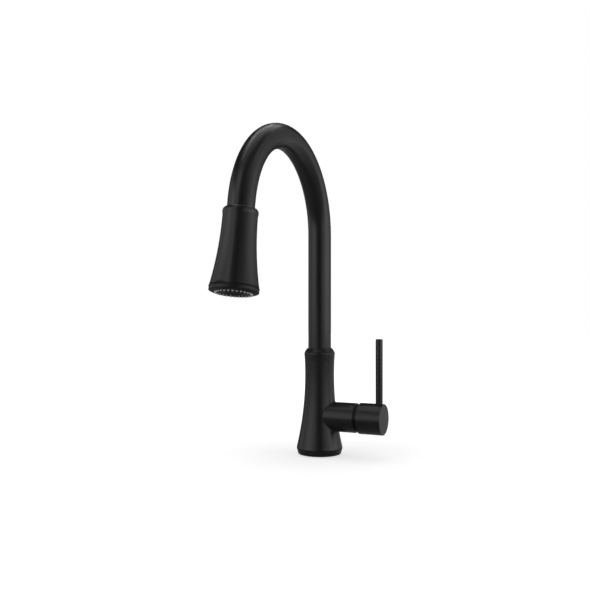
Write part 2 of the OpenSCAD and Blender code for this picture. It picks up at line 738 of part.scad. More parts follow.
module hose_tail() color(brass) difference() {
    lathe([
        [hose_bore / 2, hose_low - tail_len], [tail_r - 0.6, hose_low - tail_len],
        [tail_r, hose_low - tail_len + 0.6], [tail_r, hose_low - 0.9], [tail_r - 0.6, hose_low - 0.3],
        [hose_bore / 2, hose_low - 0.3]
    ]);
    for (turn = [0, 90])
        rotate(turn) translate([-tail_r, tail_r - tail_flat_depth, hose_low - tail_len - eps])
            cube([2 * tail_r, 2 * tail_flat_depth, tail_flat_len + eps]);
}

// ---------------------------------------------------------------- wand

module wand_collar() color(black) at_wand() lathe([
    [wand_bore_r, wand_s], [neck_r - collar_edge, wand_s], [neck_r - 0.1, wand_s + collar_edge],
    [bead_r - 0.15, bead_s - 0.9], [bead_r, bead_s], [bead_r - 0.15, bead_s + 1.2],
    [neck_r, collar_low_s - seat_gap], [wand_bore_r, collar_low_s - seat_gap]
]);

module wand_shell() color(black) at_wand() rotate_extrude() difference() {
    union() {
        translate([0, collar_low_s]) square([neck_r, swell_s - collar_low_s + eps]);
        bowed(swell_s, flare_s, wand_flare_r, neck_r + swell_r, swell_s, swell_r);
        polygon([[0, flare_s - eps], [wand_r(flare_s - eps), flare_s - eps], [wand_flare_r, flare_s],
                 [skirt_low_r, skirt_s], [0, skirt_s]]);
    }
    translate([0, collar_low_s - 1]) square([neck_r - wand_wall, swell_s - collar_low_s + 1 + eps]);
    bowed(swell_s, flare_s, wand_flare_r, neck_r + swell_r, swell_s, swell_r + wand_wall);
    translate([0, flare_s - eps]) square([wand_flare_r - wand_wall, skirt_len + 1]);
}

module wand_core() color(soft_black) at_wand() difference() {
    lathe([
        [core_bore_r, core_nose_s + 0.1], [core_nose_r, core_nose_s + 0.1], [core_nose_r, core_top],
        [core_head_r, core_top], [core_head_r, core_top + core_head_t], [core_r, core_top + core_head_t],
        [core_r, core_foot_s], [core_foot_r, core_foot_s], [core_foot_r + 0.3, core_foot_s + core_foot_t],
        [spigot_core_r, core_foot_s + core_foot_t], [spigot_core_r, clip_core_s],
        [spigot_core_r - 0.8, clip_core_s], [spigot_core_r - 0.8, clip_core_s + 1.1],
        [spigot_core_r, clip_core_s + 1.1], [spigot_core_r, core_end_s], [core_bore_r, core_end_s]
    ]);
    translate([0, 0, valve_s]) cylinder(h = valve_len + 0.2, r = valve_r + 0.05, $fn = small_fn);
    translate([0, 0, core_foot_s - 8]) ring(core_r + 1, core_r - 1.3, 0, 2.2);
    for (turn = [30, 150, 270])
        rotate(turn) translate([core_way_at, 0, core_foot_s - core_foot_t])
            cylinder(h = core_end_s - core_foot_s + 2 * core_foot_t, r = core_way_r, $fn = small_fn);
    for (turn = [30, 150, 270])
        rotate(turn) translate([0, 0, core_foot_s - core_foot_t]) rotate([0, 90, 0])
            cylinder(h = core_way_at, r = core_way_r - 0.1, $fn = small_fn);
}

module core_seal() color(soft_black) at_wand() rotate_extrude()
    translate([core_r - 0.15, core_foot_s - 6.9]) circle(1, $fn = small_fn);

module hose_nut() color(brass) at_wand() lathe([
    [core_bore_r, core_nose_s - hose_nut_len], [hose_nut_r - 1.6, core_nose_s - hose_nut_len],
    [hose_nut_r, core_nose_s - hose_nut_len + 4], [hose_nut_r, core_nose_s - 0.1],
    [core_bore_r, core_nose_s - 0.1]
]);

module check_valve() color(white) at_wand() translate([0, 0, valve_s + 0.1]) difference() {
    cylinder(h = valve_len, r = valve_r, $fn = small_fn);
    translate([0, 0, -eps]) cylinder(h = valve_len * 0.6, r = valve_r - 1.4, $fn = small_fn);
    for (turn = [0:90:270])
        rotate(turn) translate([valve_r / 2, 0, 0]) cylinder(h = valve_len + 1, r = 1.1, $fn = small_fn);
}

module inlet_strainer() color(steel) at_wand() translate([0, 0, core_nose_s + 1]) difference() {
    cylinder(h = strainer_t, r = core_bore_r - 0.02, $fn = small_fn);
    for (turn = [0:60:300])
        rotate(turn) translate([core_bore_r / 2, 0, -eps]) cylinder(h = strainer_t + 1, r = 0.6, $fn = small_fn);
}

// Open clip that keeps the turning ring on the core.
module ring_clip() color(steel) at_wand() difference() {
    ring(spigot_core_r + 1.1, spigot_core_r - 0.75, clip_core_s + 0.05, clip_core_s + 1.05);
    translate([spigot_core_r - 2, -2.5, clip_core_s - 1]) cube([6, 5, 4]);
}

module turning_ring() color(black) at_wand() lathe([
    [web_bore_r, web_s], [ring_spigot_r, web_s], [ring_spigot_r, ring_top_s],
    [skirt_low_r - 0.2, ring_top_s], [skirt_low_r + 0.1, ring_top_s + 0.3], [ring_r, ring_wide_s],
    [ring_r - grip_depth, ring_wide_s + grip_depth], [ring_r - grip_depth, grip_low_s],
    [ring_r - 0.2, grip_low_s + 0.3], [ring_r - 0.3, grip_low_s + 1],
    [ring_r - 0.9, grip_low_s + 1.5], [face_r + 0.5, face_s - 0.3], [face_r, face_s],
    [plate_lip_r, face_s], [plate_lip_r, pad_s - seat_gap], [pocket_r, pad_s - seat_gap],
    [pocket_r, web_s + web_t], [web_bore_r, web_s + web_t]
]);

module selector_disc() color(grey) at_wand() translate([0, 0, selector_s]) difference() {
    cylinder(h = selector_t, r = pocket_r - seat_gap);
    translate([0, 0, -eps]) cylinder(h = selector_t + 1, r = core_bore_r, $fn = small_fn);
    for (turn = [30, 150, 270])
        rotate(turn) translate([core_way_at, 0, -eps])
            cylinder(h = selector_t + 1, r = core_way_r - 0.4, $fn = small_fn);
}

module nozzle_places(low) for (i = [0:nozzle_n - 1])
    rotate(i * 360 / nozzle_n) translate([nozzle_pcd / 2, 0, low]) children();

// Silicone ring whose nozzles stand through the face plate.
module nozzle_pad() color(grey) at_wand() difference() {
    union() {
        ring(plate_r, aerator_r + 2.2, pad_s, pad_s + pad_t);
        nozzle_places(pad_s + pad_t / 2)
            cylinder(h = pad_t / 2 + 0.05 + plate_t + nozzle_out, r = nozzle_r, $fn = small_fn);
    }
    nozzle_places(pad_s - 1) cylinder(h = 10, r = 0.4, $fn = small_fn);
}

module face_plate() color(soft_black) at_wand() difference() {
    ring(plate_r, aerator_r + seat_gap, plate_s, plate_s + plate_t);
    nozzle_places(plate_s - 1) cylinder(h = plate_t + 2, r = nozzle_hole_r, $fn = small_fn);
}

module aerator_shell() color(soft_black) at_wand()
    ring(aerator_r, aerator_r - aerator_wall, aerator_s, face_s - 0.1);

module aerator_mesh() color(steel) at_wand() translate([0, 0, mesh_s]) difference() {
    cylinder(h = mesh_t, r = aerator_r - aerator_wall - 0.05);
    for (circle_no = [0:3]) for (i = [0:max(0, circle_no * 6 - 1)])
        rotate(circle_no == 0 ? 0 : i * 60 / circle_no) translate([circle_no * mesh_pitch, 0, -eps])
            cylinder(h = mesh_t + 1, r = mesh_hole_r, $fn = 16);
}

base_ring();
base_gasket();
shank();
body_shell();
valve_block();
block_screws();
outlet_pipe();
cartridge_housing();
cartridge_base();
port_seals();
fixed_disc();
cartridge_nut();
upper_bush();
lower_bush();
rubber_washer();
steel_washer();
mounting_nut();
nut_screws();
spout_tube();
spout_collar();
retaining_ring();
dock_bush();
spray_hose();
hose_tail();
wand_shell();
wand_collar();
wand_core();
core_seal();
hose_nut();
check_valve();
inlet_strainer();
ring_clip();
turning_ring();
selector_disc();
nozzle_pad();
face_plate();
aerator_shell();
aerator_mesh();
cartridge_rotor();
tilt_pin();
disc_carrier();
moving_disc();
cartridge_stem();
handle_cap();
lever_rod();
set_screw();
screw_plug();
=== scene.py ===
import math

import bmesh
import bpy
from mathutils import Matrix, Vector


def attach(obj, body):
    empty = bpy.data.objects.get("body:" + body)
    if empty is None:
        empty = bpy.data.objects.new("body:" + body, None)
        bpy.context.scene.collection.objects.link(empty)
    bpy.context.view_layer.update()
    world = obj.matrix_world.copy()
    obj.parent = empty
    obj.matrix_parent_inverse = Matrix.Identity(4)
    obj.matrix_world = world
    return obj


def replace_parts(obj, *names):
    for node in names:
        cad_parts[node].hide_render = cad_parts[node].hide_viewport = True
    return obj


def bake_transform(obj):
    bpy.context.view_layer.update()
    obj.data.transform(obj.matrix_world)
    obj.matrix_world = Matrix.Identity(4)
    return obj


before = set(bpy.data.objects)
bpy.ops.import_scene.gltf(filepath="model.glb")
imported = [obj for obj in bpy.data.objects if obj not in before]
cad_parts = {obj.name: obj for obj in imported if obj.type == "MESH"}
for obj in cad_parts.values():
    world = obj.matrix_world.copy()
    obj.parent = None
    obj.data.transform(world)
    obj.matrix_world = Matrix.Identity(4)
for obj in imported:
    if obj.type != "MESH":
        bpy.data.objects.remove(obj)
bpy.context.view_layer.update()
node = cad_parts
scene = bpy.context.scene

# ---------------------------------------------------------------- where things are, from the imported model

arc_r, arc_h, sweep = 0.100, 0.2675, math.radians(170.2)
neck_end = Vector((0, -arc_r + arc_r * math.cos(sweep), arc_h + arc_r * math.sin(sweep)))
out_dir = Vector((0, -math.sin(sweep), math.cos(sweep)))       # out of the outlet
wand_back = Vector((0, math.cos(sweep), math.sin(sweep)))      # square to it, in the arch's plane
wand_frame = Matrix((
    (1, 0, 0, neck_end.x),
    (0, wand_back.y, out_dir.y, neck_end.y),
    (0, wand_back.z, out_dir.z, neck_end.z),
    (0, 0, 0, 1),
))


# ---------------------------------------------------------------- materials

def blank(name):
    m = bpy.data.materials.new(name)
    m.use_nodes = True
    t = m.node_tree
    t.nodes.clear()
    out = t.nodes.new("ShaderNodeOutputMaterial")
    b = t.nodes.new("ShaderNodeBsdfPrincipled")
    t.links.new(b.outputs[0], out.inputs[0])
    return m, t, b


def add(t, kind, links=(), **values):
    """A node of a kind: properties set by name, inputs by in_NAME, and links as (input, socket)."""
    n = t.nodes.new(kind)
    for k, v in values.items():
        if k.startswith("in_"):
            n.inputs[int(k[3:]) if k[3:].isdigit() else k[3:].replace("_", " ")].default_value = v
        else:
            setattr(n, k, v)
    for name, socket in links:
        t.links.new(socket, n.inputs[name])
    return n


def ramp(t, fac, low, high, at=(0.3, 0.7)):
    n = add(t, "ShaderNodeValToRGB", [("Fac", fac)])
    n.color_ramp.elements[0].position, n.color_ramp.elements[1].position = at
    n.color_ramp.elements[0].color = (*low, 1)
    n.color_ramp.elements[1].color = (*high, 1)
    return n.outputs[0]


def span(t, fac, low, high, a=0.3, b=0.7):
    return add(t, "ShaderNodeMapRange", [("Value", fac)], in_1=a, in_2=b, in_3=low, in_4=high).outputs[0]


def tinted(c, k):
    return tuple(min(1.0, x * k) for x in c)


def clamp(v):
    return min(1.0, max(0.0, v))


def grained(name, colour, rough, vary=0.12, rough_vary=0.04, fine=1500.0, broad=45.0, bump=0.12, depth=6e-5,
            level=0.5, sheen=0.0, coat=0.0):
    """A coated, moulded or cast surface: fine grain in the relief, slow drift in colour and gloss."""
    m, t, b = blank(name)
    at = add(t, "ShaderNodeTexCoord").outputs["Object"]
    grain = add(t, "ShaderNodeTexNoise", [("Vector", at)], in_Scale=fine, in_Detail=3.0, in_Roughness=0.55)
    drift = add(t, "ShaderNodeTexNoise", [("Vector", at)], in_Scale=broad, in_Detail=4.0, in_Roughness=0.6)
    speck = add(t, "ShaderNodeMix", [("A", drift.outputs[0]), ("B", grain.outputs[0])], in_0=0.35)
    t.links.new(ramp(t, speck.outputs[0], tinted(colour, 1 - vary), tinted(colour, 1 + vary)),
                b.inputs["Base Color"])
    t.links.new(span(t, speck.outputs[0], rough - rough_vary, rough + rough_vary), b.inputs["Roughness"])
    relief = add(t, "ShaderNodeBump", [("Height", grain.outputs[0])], in_Strength=bump, in_Distance=depth)
    t.links.new(relief.outputs[0], b.inputs["Normal"])
    b.inputs["Specular IOR Level"].default_value = level
    b.inputs["Sheen Weight"].default_value = sheen
    b.inputs["Coat Weight"].default_value = coat
    return m


def turned(name, colour, rough, axis, lines=1800.0, origin=(0, 0, 0)):
    """Machined metal: fine lines that run round the axis, with a slow drift in tone."""
    m, t, b = blank(name)
    at = add(t, "ShaderNodeTexCoord").outputs["Object"]
    moved = add(t, "ShaderNodeVectorMath", [(0, at)], operation="SUBTRACT")
    moved.inputs[1].default_value = origin
    parts = add(t, "ShaderNodeSeparateXYZ", [(0, moved.outputs[0])]).outputs
    along = parts[axis]
    across = [parts[i] for i in range(3) if i != axis]
    squares = [add(t, "ShaderNodeMath", [(0, s), (1, s)], operation="MULTIPLY").outputs[0] for s in across]
    total = add(t, "ShaderNodeMath", [(0, squares[0]), (1, squares[1])], operation="ADD").outputs[0]
    radius = add(t, "ShaderNodeMath", [(0, total)], operation="SQRT").outputs[0]
    line = add(t, "ShaderNodeCombineXYZ", [(0, radius), (1, along)]).outputs[0]
    cut = add(t, "ShaderNodeTexNoise", [("Vector", line)], in_Scale=lines, in_Detail=4.0, in_Roughness=0.7)
    drift = add(t, "ShaderNodeTexNoise", [("Vector", at)], in_Scale=60.0, in_Detail=3.0)
    tone = add(t, "ShaderNodeMix", [("A", drift.outputs[0]), ("B", cut.outputs[0])], in_0=0.5)
    t.links.new(ramp(t, tone.outputs[0], tinted(colour, 0.82), tinted(colour, 1.1)), b.inputs["Base Color"])
    t.links.new(span(t, tone.outputs[0], rough - 0.08, rough + 0.1), b.inputs["Roughness"])
    relief = add(t, "ShaderNodeBump", [("Height", cut.outputs[0])], in_Strength=0.25, in_Distance=4e-5)
    t.links.new(relief.outputs[0], b.inputs["Normal"])
    b.inputs["Metallic"].default_value = 1.0
    return m


def braided(name, colour, thread):
    """A woven nylon sleeve: two sets of crossing strands, read from the piece's UV map in strand widths."""
    m, t, b = blank(name)
    uv = add(t, "ShaderNodeSeparateXYZ", [(0, add(t, "ShaderNodeTexCoord").outputs["UV"])]).outputs
    plus = add(t, "ShaderNodeMath", [(0, uv[0]), (1, uv[1])], operation="ADD").outputs[0]
    minus = add(t, "ShaderNodeMath", [(0, uv[0]), (1, uv[1])], operation="SUBTRACT").outputs[0]

    def wave(s):
        turn = add(t, "ShaderNodeMath", [(0, s)], operation="MULTIPLY", in_1=math.pi)
        return add(t, "ShaderNodeMath", [(0, turn.outputs[0])], operation="SINE").outputs[0]

    a, c = wave(plus), wave(minus)
    ridge_a = add(t, "ShaderNodeMath", [(0, a)], operation="ABSOLUTE").outputs[0]
    ridge_c = add(t, "ShaderNodeMath", [(0, c)], operation="ABSOLUTE").outputs[0]
    over = add(t, "ShaderNodeMath", [(0, a), (1, c)], operation="MULTIPLY").outputs[0]
    side = add(t, "ShaderNodeMath", [(0, over)], operation="GREATER_THAN", in_1=0.0).outputs[0]
    top = add(t, "ShaderNodeMix", [("Factor", side), ("A", ridge_a), ("B", ridge_c)]).outputs[0]
    t.links.new(ramp(t, top, thread, colour, (0.1, 0.6)), b.inputs["Base Color"])
    relief = add(t, "ShaderNodeBump", [("Height", top)], in_Strength=0.7, in_Distance=3e-4)
    t.links.new(relief.outputs[0], b.inputs["Normal"])
    b.inputs["Roughness"].default_value = 0.55
    b.inputs["Sheen Weight"].default_value = 0.3
    return m


paint = grained("matte_black_coat", (0.016, 0.016, 0.0163), 0.30, vary=0.10, rough_vary=0.03, fine=1700.0,
                bump=0.05)
lever_paint = grained("lever_coat", (0.016, 0.016, 0.0163), 0.28, vary=0.10, rough_vary=0.03, fine=2100.0,
                      bump=0.05, level=0.63)
ring_paint = grained("ring_coat", (0.014, 0.014, 0.0143), 0.36, vary=0.10, rough_vary=0.03, fine=1900.0,
                     bump=0.06, level=0.34)
black_plastic = grained("black_moulding", (0.018, 0.018, 0.019), 0.42, fine=2600.0, bump=0.2)
grey_plastic = grained("acetal_grey", (0.52, 0.53, 0.54), 0.45, vary=0.05, fine=900.0)
white_plastic = grained("moulded_white", (0.80, 0.80, 0.78), 0.32, vary=0.04, fine=700.0, bump=0.08)
ceramic = grained("ceramic", (0.86, 0.85, 0.81), 0.14, vary=0.03, fine=3000.0, bump=0.03, coat=0.3)
silicone = grained("silicone_nubs", (0.86, 0.87, 0.88), 0.5, vary=0.06, fine=1800.0, bump=0.15, sheen=0.2)
rubber = grained("rubber", (0.022, 0.022, 0.022), 0.7, vary=0.2, fine=1300.0, bump=0.35, depth=1e-4,
                 level=0.3)
brass_z = turned("brass_upright", (0.64, 0.43, 0.17), 0.3, 2)
dark_brass = turned("blackened_brass", (0.045, 0.040, 0.034), 0.42, 0, origin=(0, 0, 0.046))
steel_z = turned("steel_upright", (0.60, 0.60, 0.61), 0.28, 2)
steel_x = turned("steel_crosswise", (0.60, 0.60, 0.61), 0.28, 0, origin=(0, 0, 0.046))
cast_brass = grained("cast_brass", (0.54, 0.37, 0.15), 0.5, vary=0.16, fine=700.0, broad=80.0, bump=0.4,
                     depth=1e-4)
cast_brass.node_tree.nodes["Principled BSDF"].inputs["Metallic"].default_value = 1.0
braid = braided("nylon_braid", (0.34, 0.35, 0.36), (0.05, 0.05, 0.052))

finish_of = {
    paint: "base_ring body_shell spout_tube spout_collar wand_shell wand_collar handle_cap",
    ring_paint: "turning_ring",
    lever_paint: "lever_rod",
    black_plastic: "wand_core face_plate aerator_shell aerator_mesh cartridge_housing screw_plug",
    grey_plastic: "upper_bush lower_bush dock_bush selector_disc cartridge_rotor disc_carrier",
    white_plastic: "cartridge_base check_valve",
    ceramic: "fixed_disc moving_disc",
    silicone: "nozzle_pad",
    rubber: "base_gasket rubber_washer port_seals core_seal",
    brass_z: "shank outlet_pipe mounting_nut hose_tail hose_nut",
    dark_brass: "cartridge_nut",
    cast_brass: "valve_block",
    steel_z: "block_screws steel_washer nut_screws retaining_ring inlet_strainer ring_clip set_screw",
    steel_x: "cartridge_stem tilt_pin",
    braid: "spray_hose",
}
for material, names in finish_of.items():
    for name in names.split():
        node[name].data.materials.clear()
        node[name].data.materials.append(material)


# ---------------------------------------------------------------- mesh helpers

def grid_piece(name, points, cols, material, body, uvs=None):
    """A tube of quads from rings of points, with a UV map if wanted, riding on a body if one is named."""
    faces = []
    for r in range(len(points) // cols - 1):
        for c in range(cols):
            d = (c + 1) % cols
            faces.append((r * cols + c, r * cols + d, (r + 1) * cols + d, (r + 1) * cols + c))
    me = bpy.data.meshes.new(name)
    me.from_pydata([tuple(p) for p in points], [], faces)
    if uvs:
        layer = me.uv_layers.new(name="strands")
        for poly in me.polygons:
            for li in poly.loop_indices:
                r, c = divmod(me.loops[li].vertex_index, cols)
                first = me.loops[poly.loop_indices[0]].vertex_index % cols
                seam = first == cols - 1 and c == 0
                layer.data[li].uv = uvs(r, cols if seam else c)
    for p in me.polygons:
        p.use_smooth = True
    o = bpy.data.objects.new(name, me)
    scene.collection.objects.link(o)
    me.materials.append(material)
    if body:
        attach(o, body)
    return o


# ---------------------------------------------------------------- shank with its thread

def threaded_shank():
    """The shank with its 11-to-the-inch thread below the pilot collar, up to the flange inside the foot."""
    crest, root, bore, foot = 0.0166, 0.01575, 0.0143, 0.0153
    low, thread_top, top = -0.072, -0.0125, 0.01155
    pitch, rings_per_turn, cols = 0.00231, 7, 72
    lead_in, lead_drop, run_out = 0.0018, 0.0011, 0.002
    flat, slope = 1.7, 4.2                         # width of the crest and steepness of the flanks
    steps = int((thread_top - low) / (pitch / rings_per_turn))
    rings = [(bore, top), (bore, low), (foot, low)]
    rings += [(None, low + (thread_top - low) * i / steps) for i in range(1, steps + 1)]
    rings += [
        (0.0160, -0.0118), (0.0160, -0.0101), (0.0167, -0.0100), (0.0169, -0.0098), (0.0169, -0.0002),
        (0.0167, 0.0), (0.0166, 0.0), (0.0166, 0.00765), (0.0220, 0.00765), (0.0224, 0.00800),
        (0.0224, 0.01125), (0.0221, top), (bore, top),
    ]
    pts = []
    for r, z in rings:
        for c in range(cols):
            q = r
            if r is None:
                phase = ((z - low) / pitch - c / cols) % 1.0
                valley = 1 - clamp(flat - abs(phase - 0.5) * slope)
                q = crest - (crest - root) * valley * clamp((thread_top - z) / run_out)
                q -= lead_drop * (1 - clamp((z - low) / lead_in))
            a = 2 * math.pi * c / cols
            pts.append((q * math.cos(a), q * math.sin(a), z))
    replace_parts(grid_piece("shank_threaded", pts, cols, brass_z, "body"), "shank")


threaded_shank()


# ---------------------------------------------------------------- spray hose

hose_r = 0.0055
strand = 0.0011


def hose_ring(centre, side, up, radius, cols):
    turns = [2 * math.pi * c / cols for c in range(cols)]
    return [centre + (side * math.cos(a) + up * math.sin(a)) * radius for a in turns]


def arch_point(angle):
    """Centre of the neck at an angle round the arch, with the two directions square to it."""
    c = Vector((0, -arc_r + arc_r * math.cos(angle), arc_h + arc_r * math.sin(angle)))
    return c, Vector((1, 0, 0)), Vector((0, math.cos(angle), math.sin(angle)))


def hoses():
    """The hose in the neck, and its last stretch, up to just short of the neck's end."""
    cols, strands = 40, 32
    below = 0.0845                                 # the hose's end under the deck
    split = sweep - 0.030 / arc_r
    upright, bent, last = 120, 90, 56              # rings along the three stretches
    stops = [(Vector((0, 0, -below + i * (arc_h + below) / upright)), Vector((1, 0, 0)), Vector((0, 1, 0)))
             for i in range(upright)]
    stops += [arch_point(split * i / bent) for i in range(bent + 1)]
    length, walk, pts = 0.0, [], []
    for i, (c, side, up) in enumerate(stops):
        length += (c - stops[i - 1][0]).length if i else 0.0
        walk.append(length)
        pts += hose_ring(c, side, up, hose_r, cols)
    column = grid_piece("hose_in_neck", pts, cols, braid, "spout",
                        uvs=lambda r, c: (c * strands / cols, walk[r] / strand))
    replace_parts(column, "spray_hose")

    pull, nut_s = 0.18, -0.0028
    a, b = neck_end - out_dir * 0.029, neck_end - out_dir * 0.0032
    pts, rest = [], []
    for i in range(last + 1):
        c, side, up = arch_point(split + (sweep - split) * i / last)
        if (c - neck_end).dot(out_dir) > nut_s:
            break
        pts += hose_ring(c, side, up, hose_r, cols)
        u = clamp((c - a).dot(b - a) / (b - a).length_squared)
        rest.append((c - a).dot((b - a).normalized()) + pull * u * u * (3 - 2 * u))
    tail = grid_piece("hose_to_wand", pts, cols, braid, None,
                      uvs=lambda r, c: (c * strands / cols, rest[r] / strand))
    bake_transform(tail)


hoses()


# ---------------------------------------------------------------- soft inside corner between body and hub

def body_radius(z):
    """The body's radius at a height, and how fast it changes there."""
    waist_r, waist_h, foot_h, flare_r = 0.0178, 0.097, 0.0076, 0.0282
    dz, dr = waist_h - foot_h, flare_r - waist_r
    bow = (dz * dz + dr * dr) / (2 * dr)
    along = math.sqrt(bow * bow - (z - waist_h) ** 2)
    return waist_r + bow - along, (z - waist_h) / along


def hub_fillet():
    """The cast corner, as a ball of the corner's radius would leave it when it rolls round the hub."""
    hub_r, hub_h, ball, lap = 0.0179, 0.046, 0.0018, 0.00004
    cols, rows, tries = 96, 7, 6
    rings = [[] for _ in range(rows)]
    for c in range(cols):
        a = 2 * math.pi * c / cols
        y, z = (hub_r + ball) * math.sin(a), hub_h + (hub_r + ball) * math.cos(a)
        touch = z
        for _ in range(tries):
            r, slope = body_radius(touch)
            touch = z + slope * ball / math.sqrt(1 + slope * slope)
        r, slope = body_radius(touch)
        norm = math.sqrt(1 + slope * slope)
        reach = r + ball / norm
        x = math.sqrt(max(1e-9, reach * reach - y * y))
        centre = Vector((x, y, z))
        radial = Vector((x, y, 0)).normalized()
        on_body = -(radial / norm - Vector((0, 0, slope / norm))) * (ball + lap)
        on_hub = -Vector((0, math.sin(a), math.cos(a))) * (ball + lap)
        wide = on_body.angle(on_hub)
        for k in range(rows):
            w = k / (rows - 1)
            d = on_body.normalized() * math.sin((1 - w) * wide) + on_hub.normalized() * math.sin(w * wide)
            rings[k].append(centre + d.normalized() * (ball + lap * abs(2 * w - 1)))
    grid_piece("hub_corner", [p for ring in rings for p in ring], cols, paint, "body")


hub_fillet()


# ---------------------------------------------------------------- spray nozzles

def lathe_into(bm, profile, at, cols):
    """A turned form about the wand's axis direction, at a point of the face."""
    turns = [2 * math.pi * c / cols for c in range(cols)]
    rings = [[bm.verts.new((at[0] + r * math.cos(a), at[1] + r * math.sin(a), s)) for a in turns]
             for r, s in profile]
    for a, b in zip(rings, rings[1:]):
        for c in range(cols):
            d = (c + 1) % cols
            bm.faces.new((a[c], a[d], b[d], b[c]))


def on_wand(name, bm, material, body, replaced):
    """A piece from a mesh about the wand's axis: set on the wand in place of a node, with crisp edges."""
    bmesh.ops.recalc_face_normals(bm, faces=bm.faces)
    me = bpy.data.meshes.new(name)
    bm.to_mesh(me)
    bm.free()
    me.transform(wand_frame)
    for p in me.polygons:
        p.use_smooth = True
    me.materials.append(material)
    o = bpy.data.objects.new(name, me)
    scene.collection.objects.link(o)
    me.set_sharp_from_angle(angle=math.radians(38))
    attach(o, body)
    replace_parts(o, replaced)


def nozzles():
    """The soft pad behind the face, with its ring of nozzles through the face's holes."""
    bm = bmesh.new()
    face, sunk, plate_t, pad_t, play = 0.0930, 0.0006, 0.0020, 0.0014, 0.00005
    inner, outer, standing = 0.0117, 0.0197, 0.0015
    plate = face - sunk - plate_t
    low = plate - pad_t - play
    pad = [(inner, low), (outer, low), (outer, low + pad_t), (inner, low + pad_t), (inner, low)]
    lathe_into(bm, pad, (0, 0), 90)
    tip = plate + plate_t + standing
    count, ring_r = 28, 0.0183
    for i in range(count):
        a = 2 * math.pi * i / count
        at = (ring_r * math.cos(a), ring_r * math.sin(a))
        lathe_into(bm, [(0.00085, low + pad_t * 0.5), (0.00085, tip - 0.0011), (0.00082, tip - 0.0004),
                        (0.00072, tip - 0.0001), (0.00060, tip), (0.00046, tip), (0.00040, tip - 0.0001),
                        (0.00036, tip - 0.0012), (0.00036, low + pad_t * 0.5)], at, 18)
    on_wand("nozzle_ring", bm, silicone, "spray_face", "nozzle_pad")


nozzles()

# ---------------------------------------------------------------- smooth shading with crisp edges

for o in node.values():
    if not o.hide_render:
        o.data.set_sharp_from_angle(angle=math.radians(24))

# ---------------------------------------------------------------- floor, white surround and soft studio light

turn = 0.4329
right = Vector((math.cos(turn), math.sin(turn), 0))
ahead = Vector((-math.sin(turn), math.cos(turn), 0))
middle = Vector((0, -0.06, 0.2))


def seen_white(t):
    """1 for rays from the camera and for those mirrored or passed on by a surface."""
    path = add(t, "ShaderNodeLightPath")
    first = add(t, "ShaderNodeMath", [(0, path.outputs["Is Camera Ray"]), (1, path.outputs["Is Glossy Ray"])],
                operation="MAXIMUM")
    return add(t, "ShaderNodeMath", [(0, first.outputs[0]), (1, path.outputs["Is Transmission Ray"])],
               operation="MAXIMUM").outputs[0]


world = bpy.data.worlds.new("surround")
scene.world = world
world.use_nodes = True
wt = world.node_tree
background = wt.nodes["Background"]
wt.links.new(span(wt, seen_white(wt), 0.35, 1.0, 0.0, 1.0), background.inputs["Strength"])
background.inputs["Color"].default_value = (1, 1, 1, 1)


def stage_mesh(name, verts, faces, material):
    me = bpy.data.meshes.new(name)
    me.from_pydata([tuple(v) for v in verts], [], faces)
    me.materials.append(material)
    o = bpy.data.objects.new(name, me)
    scene.collection.objects.link(o)
    return o


def floor_material():
    m, t, b = blank("floor_white")
    at = add(t, "ShaderNodeTexCoord").outputs["Object"]
    tooth = add(t, "ShaderNodeTexNoise", [("Vector", at)], in_Scale=300.0, in_Detail=3.0)
    t.links.new(ramp(t, tooth.outputs[0], (0.80, 0.80, 0.80), (0.84, 0.84, 0.84)), b.inputs["Base Color"])
    b.inputs["Roughness"].default_value = 0.9
    b.inputs["Specular IOR Level"].default_value = 0.1
    far = add(t, "ShaderNodeVectorMath", [(0, at)], operation="LENGTH").outputs["Value"]
    # the glow is weaker near the faucet so its shadow shows, which also leaves the floor round the foot a
    # little darker outside the shadow: painted shade
    glow = span(t, far, 0.64, 1.0, 0.05, 0.5)
    strength = add(t, "ShaderNodeMath", [(0, glow), (1, seen_white(t))], operation="MULTIPLY").outputs[0]
    b.inputs["Emission Color"].default_value = (1, 1, 1, 1)
    t.links.new(strength, b.inputs["Emission Strength"])
    return m


side, floor_z = 4.0, -0.0012
corners = [(x * side, y * side, floor_z) for x, y in ((-1, -1), (1, -1), (1, 1), (-1, 1))]
stage_mesh("floor", corners, [(0, 1, 2, 3)], floor_material())


def glow_material(name, strength):
    m = bpy.data.materials.new(name)
    m.use_nodes = True
    t = m.node_tree
    t.nodes.clear()
    e = add(t, "ShaderNodeEmission", in_Strength=strength)
    t.links.new(e.outputs[0], add(t, "ShaderNodeOutputMaterial").inputs[0])
    return m, t, e


def table_cloth(tones):
    """Cloth on the table, which glows: painted light. Its glow strengths go round, the first at the camera's
    side, the next to its right; they stand in for light falling unevenly on it.
    """
    m, t, e = glow_material("cloth_table", 1.0)
    at = add(t, "ShaderNodeTexCoord").outputs["Object"]
    angle = add(t, "ShaderNodeTexGradient", [("Vector", at)], gradient_type="RADIAL")
    tone = add(t, "ShaderNodeValToRGB", [("Fac", angle.outputs["Fac"])])
    stops = tone.color_ramp.elements
    stops.remove(stops[1])
    front = math.atan2(-ahead.y, -ahead.x) / (2 * math.pi) + 0.5
    placed = sorted(((front + k / len(tones)) % 1.0, g) for k, g in enumerate(tones))
    for i, (place, sector_glow) in enumerate(placed):
        stop = stops[0] if i == 0 else stops.new(place)
        stop.position = place
        stop.color = (sector_glow, sector_glow, sector_glow, 1)
    t.links.new(tone.outputs[0], e.inputs["Color"])
    return m


